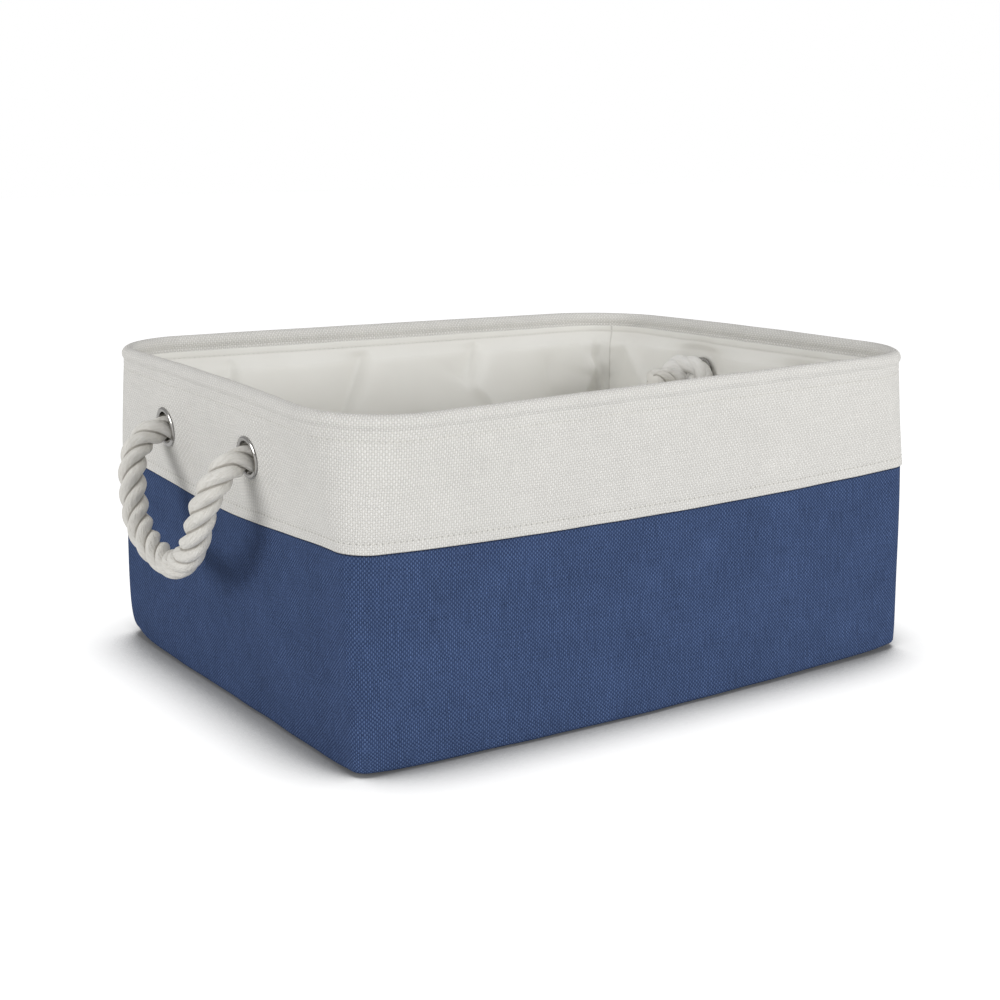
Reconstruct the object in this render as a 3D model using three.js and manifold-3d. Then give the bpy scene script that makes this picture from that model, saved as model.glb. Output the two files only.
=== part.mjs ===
// Fabric storage bin with a wired rim, a lined and boarded body and two rope handles.
// Millimetres, +Z up, origin at the centre of the underside, +X along the long side.
import * as THREE from "three";
import { LoftGeometry } from "three/addons/geometries/LoftGeometry.js";
import { mergeVertices } from "three/addons/utils/BufferGeometryUtils.js";
import Module from "manifold-3d";

// Driving dimensions.
const HEIGHT = 180;
const BAND_EDGE = 113; // height of the upper band's lower edge
const ROLL_RADIUS = 4; // cloth roll round the rim wire
const HEM_DEPTH = 13; // how far the band is turned down inside the rim
const LINING_TOP = HEIGHT - 9; // it laps the hem
const LAP = 12; // how far the lower wall runs up behind the band
const CLOTH = 0.9;
const LINING = 0.5;
const STIFFENER = 1.2;
const BASE_BOARD = 2;
const GAP = 0.3; // clearance between neighbouring layers
const WIRE_RADIUS = 1.9;
const CORNER_STEPS = 8;

// The outer cloth face at three heights: [z, half length, half width, corner radius].
// The body stands nearly plumb up to the band's edge, then opens out to the wire's rounder shape.
const STATIONS = [
  [0, 190.8, 146.4, 8],
  [BAND_EDGE, 192.6, 147.2, 17],
  [HEIGHT, 198.8, 153.3, 54],
];

// Depths of the layers, measured inwards from the outer cloth face.
const LOWER_WALL_AT = CLOTH + GAP;
const STIFFENER_AT = LOWER_WALL_AT + CLOTH + GAP;
const LINING_AT = STIFFENER_AT + STIFFENER + GAP;
const HEM_AT = LINING_AT + LINING + GAP;
const WALL_DEPTH = HEM_AT + CLOTH;
const BASE_BOARD_AT = CLOTH + GAP;
const LINING_FLOOR_AT = BASE_BOARD_AT + BASE_BOARD + GAP;

// Eyelets and handles.
const EYELET_HEIGHT = 144;
const EYELET_SPREAD = 52; // from the middle of a handle to each of its eyelets
const HANDLE_MIDDLE = { left: 5, right: -8 }; // where each pair of eyelets is centred along Y
const BORE_RADIUS = 8.6;
const BARREL_RADIUS = 9.3;
const FLANGE_RADIUS = 11.3;
const WASHER = 0.8;
const ROPE_RADIUS = 7.8;
const PINCHED_ROPE_RADIUS = 7.2; // where the rope passes through an eyelet
const STUB_END = 2.4; // how far the pinched rope stands out of the cloth face
const KNOT_DEPTH = 25; // from the cloth face to the middle of a knot
const KNOT_DROP = 6; // its middle hangs this far below the eyelet's axis
const KNOT = { up: 17, across: 20, along: 16.5 }; // half its size each way
const TAIL_LENGTH = 28; // from the middle of the knot
const TAIL_RISE = 0.16; // radians, towards the eyelet's axis
const ROUND = 24;

// One half of a handle's centreline, from the swing axis down to the middle of the loop:
// [distance outboard of the cloth face, distance from the handle's middle, drop below the eyelet].
const HALF_HANDLE = [
  [13, 53, 5],
  [18.2, 52, 11],
  [21.8, 49.5, 19],
  [23.8, 46, 28],
  [24.8, 42.5, 37.5],
  [25.4, 37.5, 46.5],
  [25.5, 30, 53.5],
  [24.9, 21, 58.8],
  [23.6, 11, 62.6],
  [22.8, 0, 64.2],
];

const wasm = await Module();
wasm.setup();

const looks = {
  cream_cloth: [0xdcdad2, 0.9, 0],
  navy_cloth: [0x2f4273, 0.9, 0],
  lining_cloth: [0xd9d8d0, 0.6, 0],
  rope_cotton: [0xe6e2d8, 0.95, 0],
  board: [0xb79c78, 0.9, 0],
  steel: [0x9a9a98, 0.4, 1],
  nickel: [0xc8c8c6, 0.15, 1],
};

const bin = new THREE.Group();

function addMesh(name, geometry, look, parent = bin) {
  const [color, roughness, metalness] = looks[look];
  const mesh = new THREE.Mesh(geometry, new THREE.MeshStandardMaterial({ color, roughness, metalness }));
  mesh.name = name;
  parent.add(mesh);
  return mesh;
}

// Half length, half width and corner radius of the outer cloth face at height z.
function faceAt(z) {
  const upper = z <= BAND_EDGE ? 1 : 2;
  const [low, high] = [STATIONS[upper - 1], STATIONS[upper]];
  const t = (z - low[0]) / (high[0] - low[0]);
  return [1, 2, 3].map((i) => low[i] + t * (high[i] - low[i]));
}

// The rounded rectangle that lies depth inside the outer cloth face at height z.
function ring(depth, z) {
  const [halfLength, halfWidth, faceRadius] = faceAt(z);
  const radius = faceRadius - depth;
  const points = [];
  for (const [quarter, sx, sy] of [[0, 1, 1], [1, -1, 1], [2, -1, -1], [3, 1, -1]]) {
    for (let i = 0; i <= CORNER_STEPS; i++) {
      const angle = (quarter + i / CORNER_STEPS) * Math.PI / 2;
      const x = sx * (halfLength - faceRadius) + radius * Math.cos(angle);
      const y = sy * (halfWidth - faceRadius) + radius * Math.sin(angle);
      points.push(new THREE.Vector3(x, y, z));
    }
  }
  return points;
}

// A closed band round the bin. The profile's [depth, z] points go up outside and down inside.
function ringSolid(profile) {
  const sections = profile.map(([depth, z]) => ring(depth, z));
  return new LoftGeometry([...sections, sections[0]]);
}

// A plain wall layer, bent where the outer face bends.
function layer(depth, thickness, low, high) {
  const bend = low < BAND_EDGE && high > BAND_EDGE ? [BAND_EDGE] : [];
  const up = [low, ...bend, high].map((z) => [depth, z]);
  const down = [high, ...bend, low].map((z) => [depth + thickness, z]);
  return ringSolid([...up, ...down]);
}

// A flat sheet that fills the bin's outline at depth inside the outer face.
function plate(depth, low, thickness) {
  return new LoftGeometry([ring(depth, low), ring(depth, low + thickness)], { capStart: true, capEnd: true });
}

function solid(geometry) {
  const bare = new THREE.BufferGeometry();
  bare.setAttribute("position", geometry.getAttribute("position"));
  if (geometry.index) bare.setIndex(geometry.index);
  const merged = mergeVertices(bare, 1e-3);
  const vertProperties = merged.attributes.position.array;
  return new wasm.Manifold(new wasm.Mesh({ numProp: 3, vertProperties, triVerts: new Uint32Array(merged.index.array) }));
}

function geometryOf(manifold) {
  const mesh = manifold.getMesh();
  const geometry = new THREE.BufferGeometry();
  geometry.setAttribute("position", new THREE.BufferAttribute(mesh.vertProperties, 3));
  geometry.setIndex(new THREE.BufferAttribute(mesh.triVerts, 1));
  return geometry;
}

// The end walls lean outwards above the band's edge; an eyelet's axis leans down with them.
const [, bandStation, rimStation] = STATIONS;
const END_LEAN = Math.atan2(rimStation[1] - bandStation[1], rimStation[0] - bandStation[0]);
const [EYELET_X] = faceAt(EYELET_HEIGHT);

const handles = [
  { side: "left", out: -1, middle: HANDLE_MIDDLE.left },
  { side: "right", out: 1, middle: HANDLE_MIDDLE.right },
];
const eyelets = handles.flatMap(({ side, out, middle }) =>
  [["front", -1], ["rear", 1]].map(([place, along]) => ({
    name: `${side}_${place}`,
    out,
    y: middle + along * EYELET_SPREAD,
  })),
);

// A group whose +Z points out of the end wall, square to it, at an eyelet's middle.
function eyeletFrame({ out, y }) {
  const frame = new THREE.Group();
  frame.position.set(out * EYELET_X, y, EYELET_HEIGHT);
  frame.rotation.y = out * (Math.PI / 2 + END_LEAN);
  bin.add(frame);
  frame.updateMatrixWorld(true);
  return frame;
}

// Cuts the four eyelet holes through a geometry that stands in the bin's frame.
function punched(geometry) {
  let cloth = solid(geometry);
  for (const eyelet of eyelets) {
    const drill = new THREE.CylinderGeometry(BARREL_RADIUS + GAP, BARREL_RADIUS + GAP, 30, ROUND);
    drill.rotateX(Math.PI / 2);
    const frame = eyeletFrame(eyelet);
    drill.applyMatrix4(frame.matrixWorld);
    bin.remove(frame);
    cloth = cloth.subtract(solid(drill));
  }
  return geometryOf(cloth);
}

// Points on an arc in the profile plane, from one angle to another, about the rim wire.
function rollArc(radius, from, to) {
  const steps = 8;
  return Array.from({ length: steps + 1 }, (_, i) => {
    const angle = from + (i / steps) * (to - from);
    return [WALL_DEPTH / 2 - radius * Math.cos(angle), HEIGHT - ROLL_RADIUS + radius * Math.sin(angle)];
  });
}

function addOuterCloth() {
  const outer = Math.acos(WALL_DEPTH / 2 / ROLL_RADIUS);
  const innerRadius = ROLL_RADIUS - CLOTH;
  const inner = Math.acos((WALL_DEPTH / 2 - CLOTH) / innerRadius);
  const hemEnd = HEIGHT - HEM_DEPTH;
  const band = ringSolid([
    [0, BAND_EDGE],
    ...rollArc(ROLL_RADIUS, -outer, Math.PI + outer),
    [WALL_DEPTH, hemEnd],
    [HEM_AT, hemEnd],
    ...rollArc(innerRadius, Math.PI + inner, -inner),
    [CLOTH, BAND_EDGE],
  ]);
  addMesh("upper_band", punched(band), "cream_cloth");
  addMesh("lower_wall", layer(LOWER_WALL_AT, CLOTH, 0, BAND_EDGE + LAP), "navy_cloth");
  addMesh("bottom_panel", plate(LOWER_WALL_AT + CLOTH + GAP, 0, CLOTH), "navy_cloth");
}

function addLining() {
  addMesh("lining_wall", punched(layer(LINING_AT, LINING, LINING_FLOOR_AT, LINING_TOP)), "lining_cloth");
  addMesh("lining_floor", plate(HEM_AT, LINING_FLOOR_AT, LINING), "lining_cloth");
}

// A board between the outer cloth and the lining, as wide as the straight part of its wall.
// The long walls run along X and the end walls along Y.
function stiffener(name, alongX, sign) {
  const low = LINING_FLOOR_AT;
  const high = HEIGHT - HEM_DEPTH - 2;
  const margin = 3;
  const sections = [low, BAND_EDGE, high].map((z) => {
    const [halfLength, halfWidth, radius] = faceAt(z);
    const half = (alongX ? halfLength : halfWidth) - radius - margin;
    const near = (alongX ? halfWidth : halfLength) - STIFFENER_AT;
    const far = near - STIFFENER;
    const corners = [[-half, near], [-half, far], [half, far], [half, near]];
    return corners.map(([along, across]) => new THREE.Vector3(along, across, z));
  });
  const board = new LoftGeometry(sections, { capStart: true, capEnd: true });
  // The board is drawn at the rear wall; turning it brings it to its own wall.
  board.rotateZ((alongX ? 0 : -Math.PI / 2) + (sign > 0 ? 0 : Math.PI));
  addMesh(name, alongX ? board : punched(board), "board");
}

function addBoards() {
  addMesh("base_board", plate(STIFFENER_AT, BASE_BOARD_AT, BASE_BOARD), "board");
  stiffener("stiffener_front", true, -1);
  stiffener("stiffener_rear", true, 1);
  stiffener("stiffener_left", false, -1);
  stiffener("stiffener_right", false, 1);
}

// The rim wire is one closed steel ring. Its two ends meet inside a crimped sleeve at the rear.
function addRimWire() {
  const sleeveRadius = WIRE_RADIUS + GAP;
  const centre = ring(WALL_DEPTH / 2, HEIGHT - ROLL_RADIUS);
  const sides = 8;
  const sections = centre.map((point, i) => {
    const before = centre[(i + centre.length - 1) % centre.length];
    const after = centre[(i + 1) % centre.length];
    const outward = new THREE.Vector3().subVectors(after, before).cross(new THREE.Vector3(0, 0, 1)).normalize();
    return Array.from({ length: sides }, (_, k) => {
      const angle = (k / sides) * 2 * Math.PI;
      return point.clone()
        .addScaledVector(outward, -WIRE_RADIUS * Math.cos(angle))
        .add(new THREE.Vector3(0, 0, WIRE_RADIUS * Math.sin(angle)));
    });
  });
  addMesh("rim_wire", new LoftGeometry([...sections, sections[0]]), "steel");

  const wall = 0.5;
  const half = 14;
  const profile = [[0, -half], [wall, -half], [wall, half], [0, half], [0, -half]];
  const tube = profile.map(([extra, along]) => new THREE.Vector2(sleeveRadius + extra, along));
  const sleeve = addMesh("rim_wire_sleeve", new THREE.LatheGeometry(tube, 12), "steel");
  sleeve.rotation.z = Math.PI / 2;
  sleeve.position.set(0, centre[CORNER_STEPS].y, HEIGHT - ROLL_RADIUS);
}

function addEyelet(eyelet) {
  const inside = -(LINING_AT + LINING); // the lining's face, seen along the eyelet's axis
  const washerEnd = inside - GAP - WASHER;
  const lip = washerEnd - GAP;
  const barrel = [
    [BORE_RADIUS, lip - 0.5],
    [9, lip - 0.9],
    [10, lip - 0.9],
    [10.7, lip - 0.5],
    [10.7, lip],
    [BARREL_RADIUS, lip],
    [BARREL_RADIUS, GAP],
    [FLANGE_RADIUS, GAP],
    [FLANGE_RADIUS, 0.7],
    [10.7, 1.2],
    [9.9, 1.4],
    [9.1, 1.2],
    [BORE_RADIUS, 0.7],
  ];
  const washer = [
    [BARREL_RADIUS + GAP, washerEnd],
    [FLANGE_RADIUS, washerEnd],
    [FLANGE_RADIUS, inside - GAP],
    [BARREL_RADIUS + GAP, inside - GAP],
  ];
  const frame = eyeletFrame(eyelet);
  for (const [kind, outline] of [["eyelet", barrel], ["washer", washer]]) {
    const points = [...outline, outline[0]].map(([radius, along]) => new THREE.Vector2(radius, along));
    const turned = new THREE.LatheGeometry(points, ROUND);
    turned.rotateX(Math.PI / 2);
    addMesh(`${eyelet.name}_${kind}`, turned, "nickel", frame);
  }
}

// The rope's end: the stretch pinched in the eyelet, the knot behind it and the short tail.
function addRopeEnd(eyelet) {
  const stub = new THREE.CylinderGeometry(PINCHED_ROPE_RADIUS, PINCHED_ROPE_RADIUS, STUB_END + KNOT_DEPTH, 16);
  stub.rotateX(Math.PI / 2);
  stub.translate(0, 0, (STUB_END - KNOT_DEPTH) / 2);
  const knot = new THREE.SphereGeometry(1, 16, 10);
  knot.scale(KNOT.up, KNOT.across, KNOT.along);
  knot.translate(eyelet.out * KNOT_DROP, 0, -KNOT_DEPTH);
  const tail = new THREE.CylinderGeometry(PINCHED_ROPE_RADIUS, PINCHED_ROPE_RADIUS, TAIL_LENGTH, 12);
  tail.rotateX(Math.PI / 2);
  tail.translate(0, 0, -TAIL_LENGTH / 2);
  tail.rotateY(eyelet.out * TAIL_RISE);
  tail.translate(eyelet.out * KNOT_DROP, 0, -KNOT_DEPTH);
  const rope = solid(stub).add(solid(knot)).add(solid(tail));
  addMesh(`${eyelet.name}_rope_end`, geometryOf(rope), "rope_cotton", eyeletFrame(eyelet));
}

// The free loop of a handle. Both its ends are balls on the swing axis.
function addHandle({ side, out, middle }) {
  const place = ([outboard, across, drop], sign) =>
    new THREE.Vector3(out * (EYELET_X + outboard), middle + sign * across, EYELET_HEIGHT - drop);
  const front = HALF_HANDLE.map((point) => place(point, -1));
  const rear = HALF_HANDLE.slice(0, -1).reverse().map((point) => place(point, 1));
  const path = new THREE.CatmullRomCurve3([...front, ...rear], false, "centripetal");
  const section = new THREE.Shape();
  const sides = 10;
  for (let i = 0; i < sides; i++) {
    const angle = (i / sides) * 2 * Math.PI;
    const [x, y] = [ROPE_RADIUS * Math.cos(angle), ROPE_RADIUS * Math.sin(angle)];
    if (i === 0) section.moveTo(x, y);
    else section.lineTo(x, y);
  }
  let rope = solid(new THREE.ExtrudeGeometry(section, { extrudePath: path, steps: 36 }));
  for (const end of [front[0], rear[rear.length - 1]]) {
    const ball = new THREE.SphereGeometry(ROPE_RADIUS, 14, 10);
    ball.translate(end.x, end.y, end.z);
    rope = rope.add(solid(ball));
  }
  addMesh(`${side}_handle_rope`, geometryOf(rope), "rope_cotton");
}

addOuterCloth();
addLining();
addBoards();
addRimWire();
eyelets.forEach(addEyelet);
eyelets.forEach(addRopeEnd);
handles.forEach(addHandle);

export default bin;
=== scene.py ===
import math

import bmesh
import bpy
import numpy as np
from mathutils import Euler, Matrix


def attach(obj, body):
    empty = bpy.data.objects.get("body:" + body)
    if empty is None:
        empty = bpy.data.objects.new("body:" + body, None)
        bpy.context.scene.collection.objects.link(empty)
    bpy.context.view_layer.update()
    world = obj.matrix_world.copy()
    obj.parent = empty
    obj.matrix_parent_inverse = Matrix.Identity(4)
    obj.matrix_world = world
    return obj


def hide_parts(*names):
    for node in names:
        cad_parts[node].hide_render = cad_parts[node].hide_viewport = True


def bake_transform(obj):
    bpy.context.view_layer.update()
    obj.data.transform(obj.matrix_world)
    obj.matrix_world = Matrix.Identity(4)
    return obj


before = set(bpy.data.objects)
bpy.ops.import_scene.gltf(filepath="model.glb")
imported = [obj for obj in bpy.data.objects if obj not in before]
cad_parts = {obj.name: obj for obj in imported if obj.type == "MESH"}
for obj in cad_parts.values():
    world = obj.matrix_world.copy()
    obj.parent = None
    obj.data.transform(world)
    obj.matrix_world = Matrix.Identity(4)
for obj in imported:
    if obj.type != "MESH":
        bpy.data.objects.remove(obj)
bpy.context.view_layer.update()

MM = 0.001

# The outer cloth face at three heights, as in the CAD model: height, half length, half width and corner
# radius.
FACE = np.array([[0, 190.8, 146.4, 8], [113, 192.6, 147.2, 17], [180, 198.8, 153.3, 54]]) * MM
# How the cloth gives at those heights. The middles of the long sides and of the ends bow outwards and
# rise by so much, and the corners stand out of level by so much. A least-squares fit to the body's edges
# in the photograph gave these values, and FACE's corner radii were chosen with its help.
GIVE = np.array([
    [7.5, -1.1, -0.1, -0.9, -1.4], [-5.1, -3.9, -5.9, -6.8, -1.0], [-0.2, -3.1, 0.5, 1.4, -2.7],
]) * MM

BAND_EDGE = FACE[1, 0]
RIM_TOP = FACE[2, 0]
ROLL_RADIUS = 4 * MM
WIRE_RADIUS = 1.9 * MM
SLEEVE_RADIUS = 2.7 * MM
CLOTH = 0.9 * MM
LINING = 0.5 * MM
STIFFENER = 1.2 * MM
STIFFENER_MARGIN = 14 * MM  # from each end of a board to where the wall's corner starts to bend
BASE_BOARD = 2 * MM
BASE_BOARD_MARGIN = 6 * MM
GAP = 0.3 * MM
HEM_END = RIM_TOP - 13 * MM
# Lines of stitches: along the band's lower edge, under the rim outside, and along the lining's top edge.
BAND_STITCH = BAND_EDGE + 5.5 * MM
CASING_STITCH = RIM_TOP - 12.4 * MM
HEM_STITCH = RIM_TOP - 12.6 * MM
LINING_TOP = RIM_TOP - 9 * MM
LINING_SEAM = 0.1055  # share of the way round, in the rear right-hand corner
LINING_HANG = 6.5 * MM  # how far the loose lining stands in from the boards between its folds
STITCH_PITCH = 3.4 * MM
STITCH_PULL = 0.3 * MM  # how far a line of stitches draws the cloth in
THREAD_RADIUS = 0.26 * MM
LOWER_WALL_TOP = BAND_EDGE + 12 * MM

# Depths of the layers, measured inwards from the outer cloth face.
LOWER_WALL_AT = CLOTH + GAP
STIFFENER_AT = LOWER_WALL_AT + CLOTH + GAP
LINING_AT = STIFFENER_AT + STIFFENER + GAP
HEM_AT = LINING_AT + LINING + GAP
WALL_DEPTH = HEM_AT + CLOTH
LINING_FLOOR_AT = 3.5 * MM
BOTTOM_TURN = 3.2 * MM  # radius at which the wall cloth turns under the bin
UNDERSIDE_INSET = LOWER_WALL_AT + BOTTOM_TURN + CLOTH

EYELET_HEIGHT = 144 * MM
EYELET_SPREAD = 52 * MM
EYELET_GRIP = 12 * MM  # radius of the cloth that an eyelet clamps flat
HOLE_RADIUS = 9.6 * MM
EYELET_X = float(np.interp(EYELET_HEIGHT, FACE[:, 0], FACE[:, 1]))
END_LEAN = math.atan2(FACE[2, 1] - FACE[1, 1], RIM_TOP - BAND_EDGE)
# Each handle: name, which end of the bin, and the middle of its pair of eyelets along Y.
HANDLES = [("left", -1, 5 * MM), ("right", 1, -8 * MM)]
EYELETS = [
    (f"{side}_{place}", out, middle + along * EYELET_SPREAD)
    for side, out, middle in HANDLES
    for place, along in (("front", -1), ("rear", 1))
]

# How far the foot of each corner is gathered in, from the rear right-hand corner round by the rear left.
CORNER_TUCK = (1.5 * MM, 5 * MM, 1.5 * MM, 1 * MM)
SINK_HEIGHT = 15 * MM  # from this height up the cloth gives downwards freely
COLUMNS = 640  # upright mesh lines round the wall
ROW = 2.4 * MM
# In metres. It keeps flat cloths clear of the lines that the walls' materials draw by UV.
FLAT_UV_SHIFT = 1.0


# --- Camera, floor and light ---


def make_camera():
    data = bpy.data.cameras.new("camera")
    data.lens = 59.23
    data.sensor_width = 36
    camera = bpy.data.objects.new("camera", data)
    camera.location = (-0.55493, -0.80100, 0.31094)
    turn = Euler((math.radians(90 - 12.89), 0, math.radians(-34.385))).to_matrix()
    turn = turn @ Matrix.Rotation(math.radians(0.2), 3, "Z")
    camera.rotation_euler = turn.to_euler()
    bpy.context.scene.collection.objects.link(camera)
    bpy.context.scene.camera = camera


def make_light(name, place, target, size, power):
    data = bpy.data.lights.new(name, "AREA")
    data.shape = "RECTANGLE"
    data.size, data.size_y = size
    data.energy = power
    light = bpy.data.objects.new(name, data)
    light.location = place
    towards = np.array(target, float) - np.array(place, float)
    flat = math.hypot(towards[0], towards[1])
    heading = math.atan2(towards[1], towards[0])
    light.rotation_euler = (math.atan2(flat, -towards[2]), 0, heading - math.pi / 2)
    bpy.context.scene.collection.objects.link(light)


def make_world():
    """White behind the object and softer for its light, so that the bin isn't washed out."""
    world = bpy.data.worlds.new("studio")
    bpy.context.scene.world = world
    world.use_nodes = True
    nodes, links = world.node_tree.nodes, world.node_tree.links
    background = nodes["Background"]
    background.inputs["Strength"].default_value = 1
    rays = nodes.new("ShaderNodeLightPath")
    mix = nodes.new("ShaderNodeMix")
    mix.data_type = "RGBA"
    mix.inputs["A"].default_value = (0.40, 0.40, 0.405, 1)
    mix.inputs["B"].default_value = (1, 1, 1, 1)
    links.new(rays.outputs["Is Camera Ray"], mix.inputs["Factor"])
    links.new(mix.outputs["Result"], background.inputs["Color"])


FLOOR_GLOW = 0.92
FLOOR_BOUNCE = 0.45  # share of the glow that lights the object
SHADOW_REACH = 70 * MM
SHADOW_DEPTH = 4.4


def make_floor():
    """A bright sweep that darkens only close to what stands on it."""
    size = 6.0
    mesh = bpy.data.meshes.new("floor")
    corners = [(-size, -size), (size, -size), (size, size), (-size, size)]
    mesh.from_pydata([(x, y, -0.3 * MM) for x, y in corners], [], [(0, 1, 2, 3)])
    floor = bpy.data.objects.new("floor", mesh)
    bpy.context.scene.collection.objects.link(floor)
    shader = Shader("studio_floor", (0.3, 0.3, 0.3), 0.9)
    open_air = shader.add("ShaderNodeAmbientOcclusion", {"samples": 16}, Distance=SHADOW_REACH).outputs["AO"]
    closed = shader.minus(1, open_air)
    shade = shader.times(shader.math("POWER", closed, 2.0), SHADOW_DEPTH)
    lit = shader.math("MAXIMUM", shader.minus(1, shade), 0.02)
    glow = shader.times(lit, FLOOR_GLOW)
    # The floor lights the object less than it lights the picture.
    seen = shader.add("ShaderNodeLightPath").outputs["Is Camera Ray"]
    glow = shader.times(glow, shader.between(seen, 0, 1, FLOOR_BOUNCE, 1))
    shader.tree.links.new(glow, shader.principled.inputs["Emission Strength"])
    shader.principled.inputs["Emission Color"].default_value = (1, 1, 1, 1)
    floor.data.materials.append(shader.material)


def make_studio():
    make_world()
    make_light("left", (-2.2, 0.1, 0.7), (0, 0, 0.1), (1.2, 0.8), 19.5)
    make_light("right", (0.45, -2.3, 0.6), (0, 0, 0.15), (1.1, 0.5), 29)
    make_light("top", (0.1, 0.1, 1.6), (0, 0, 0), (1.4, 1.4), 4)
    make_floor()


# --- Materials ---


class Shader:
    """A material under construction, with short ways to add and join nodes."""

    def __init__(self, name, color, roughness, metallic=0.0, specular=0.5):
        self.material = bpy.data.materials.new(name)
        self.material.use_nodes = True
        self.tree = self.material.node_tree
        self.principled = self.tree.nodes["Principled BSDF"]
        self.principled.inputs["Base Color"].default_value = (*color, 1)
        self.principled.inputs["Roughness"].default_value = roughness
        self.principled.inputs["Metallic"].default_value = metallic
        self.principled.inputs["Specular IOR Level"].default_value = specular

    def cloth_place(self):
        return self.add("ShaderNodeUVMap", {"uv_map": "cloth"}).outputs["UV"]

    def object_place(self):
        return self.add("ShaderNodeTexCoord").outputs["Object"]

    def add(self, kind, settings=None, **inputs):
        node = self.tree.nodes.new(kind)
        for key, value in (settings or {}).items():
            setattr(node, key, value)
        for key, value in inputs.items():
            self.feed(node.inputs[key.replace("_", " ")], value)
        return node

    def feed(self, socket, value):
        if isinstance(value, bpy.types.NodeSocket):
            self.tree.links.new(value, socket)
        else:
            socket.default_value = value

    def math(self, operation, *values):
        node = self.tree.nodes.new("ShaderNodeMath")
        node.operation = operation
        for socket, value in zip(node.inputs, values):
            self.feed(socket, value)
        return node.outputs[0]

    def plus(self, a, b):
        return self.math("ADD", a, b)

    def minus(self, a, b):
        return self.math("SUBTRACT", a, b)

    def times(self, a, b):
        return self.math("MULTIPLY", a, b)

    def mix(self, factor, a, b, blend="MIX"):
        node = self.tree.nodes.new("ShaderNodeMix")
        node.data_type = "RGBA"
        node.blend_type = blend
        self.feed(node.inputs["Factor"], factor)
        self.feed(node.inputs["A"], a if isinstance(a, bpy.types.NodeSocket) else (*a, 1))
        self.feed(node.inputs["B"], b if isinstance(b, bpy.types.NodeSocket) else (*b, 1))
        return node.outputs["Result"]

    def noise(self, place, scale, detail=2.0, roughness=0.5):
        node = self.add("ShaderNodeTexNoise", Scale=scale, Detail=detail, Roughness=roughness)
        self.tree.links.new(place, node.inputs["Vector"])
        return node.outputs["Fac"]

    def stretched(self, place, x, y):
        node = self.add("ShaderNodeMapping")
        node.inputs["Scale"].default_value = (x, y, 1)
        self.tree.links.new(place, node.inputs["Vector"])
        return node.outputs["Vector"]

    def between(self, value, low, high, to_low=0.0, to_high=1.0):
        node = self.add("ShaderNodeMapRange", From_Min=low, From_Max=high, To_Min=to_low, To_Max=to_high)
        self.feed(node.inputs["Value"], value)
        return node.outputs[0]

    def bump(self, height, distance):
        node = self.add("ShaderNodeBump", Distance=distance, Strength=1.0)
        self.feed(node.inputs["Height"], height)
        self.tree.links.new(node.outputs["Normal"], self.principled.inputs["Normal"])

    def color(self, value):
        self.tree.links.new(value, self.principled.inputs["Base Color"])


def cloth_threads(shader, pitch):
    """A plain weave over the cloth's own UV, which is in metres.

    Gives the UV, its two axes, the threads' height, where the warp is on top, and each thread's tone."""
    cloth = shader.cloth_place()
    axes = shader.add("ShaderNodeSeparateXYZ", Vector=cloth)
    wander = shader.minus(shader.noise(cloth, 70, 3), 0.5)
    lean = shader.minus(shader.noise(shader.stretched(cloth, 1, 1.7), 55, 3), 0.5)
    along = shader.plus(axes.outputs["X"], shader.times(wander, 1.5 * pitch))
    up = shader.plus(axes.outputs["Y"], shader.times(lean, 1.5 * pitch))
    warp = shader.math("SINE", shader.times(along, math.pi / pitch))
    weft = shader.math("SINE", shader.times(up, math.pi / pitch))
    both = shader.times(warp, weft)
    warp_height = shader.plus(shader.math("ABSOLUTE", warp), both)
    weft_height = shader.minus(shader.math("ABSOLUTE", weft), both)
    height = shader.times(shader.math("MAXIMUM", warp_height, weft_height), 0.5)
    warp_on_top = shader.between(shader.minus(warp_height, weft_height), -0.25, 0.25)
    # Thread by thread unevenness: long in the thread's own direction and fine across it.
    fine = 0.7 / pitch
    warp_tone = shader.noise(shader.stretched(cloth, fine, fine * 0.12), 1, 2, 0.6)
    weft_tone = shader.noise(shader.stretched(cloth, fine * 0.12, fine), 1, 2, 0.6)
    tone = shader.add("ShaderNodeMix", {"data_type": "FLOAT"})
    shader.tree.links.new(warp_on_top, tone.inputs["Factor"])
    shader.tree.links.new(weft_tone, tone.inputs["A"])
    shader.tree.links.new(warp_tone, tone.inputs["B"])
    return cloth, axes, height, warp_on_top, tone.outputs["Result"]


def woven(name, weft, warp, pitch, relief, unevenness, gap_shade):
    """Plain-woven cloth.

    weft and warp are the two threads' colours, and gap_shade is how dark it is between them."""
    shader = Shader(name, warp, 0.92, specular=0.06)
    cloth, axes, height, warp_on_top, tone = cloth_threads(shader, pitch)
    patches = shader.between(shader.noise(cloth, 28, 3), 0.25, 0.75, -0.4 * unevenness, 0.4 * unevenness)
    level = shader.plus(shader.between(tone, 0.25, 0.75, 1 - unevenness, 1 + unevenness), patches)
    shade = shader.times(level, shader.between(height, 0.1, 0.7, gap_shade, 1.0))
    grey = shader.add("ShaderNodeCombineColor", Red=shade, Green=shade, Blue=shade).outputs[0]
    colored = shader.mix(1.0, shader.mix(warp_on_top, weft, warp), grey, "MULTIPLY")
    shader.bump(height, relief)
    return shader, axes, colored


def needle_holes(shader, axes, line):
    """1 in the small holes that a line of stitches leaves, one at each end of a stitch, else 0."""
    pitch = perimeter() / round(perimeter() / STITCH_PITCH)
    off_hole = shader.math("PINGPONG", shader.plus(axes.outputs["X"], 0.5 * pitch), 0.5 * pitch)
    off_hole = shader.minus(0.5 * pitch, off_hole)
    off_line = shader.minus(axes.outputs["Y"], line)
    squares = shader.plus(shader.math("POWER", off_hole, 2.0), shader.math("POWER", off_line, 2.0))
    return shader.between(shader.math("SQRT", squares), 0.3 * MM, 0.7 * MM, 1.0, 0.0)


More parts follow.
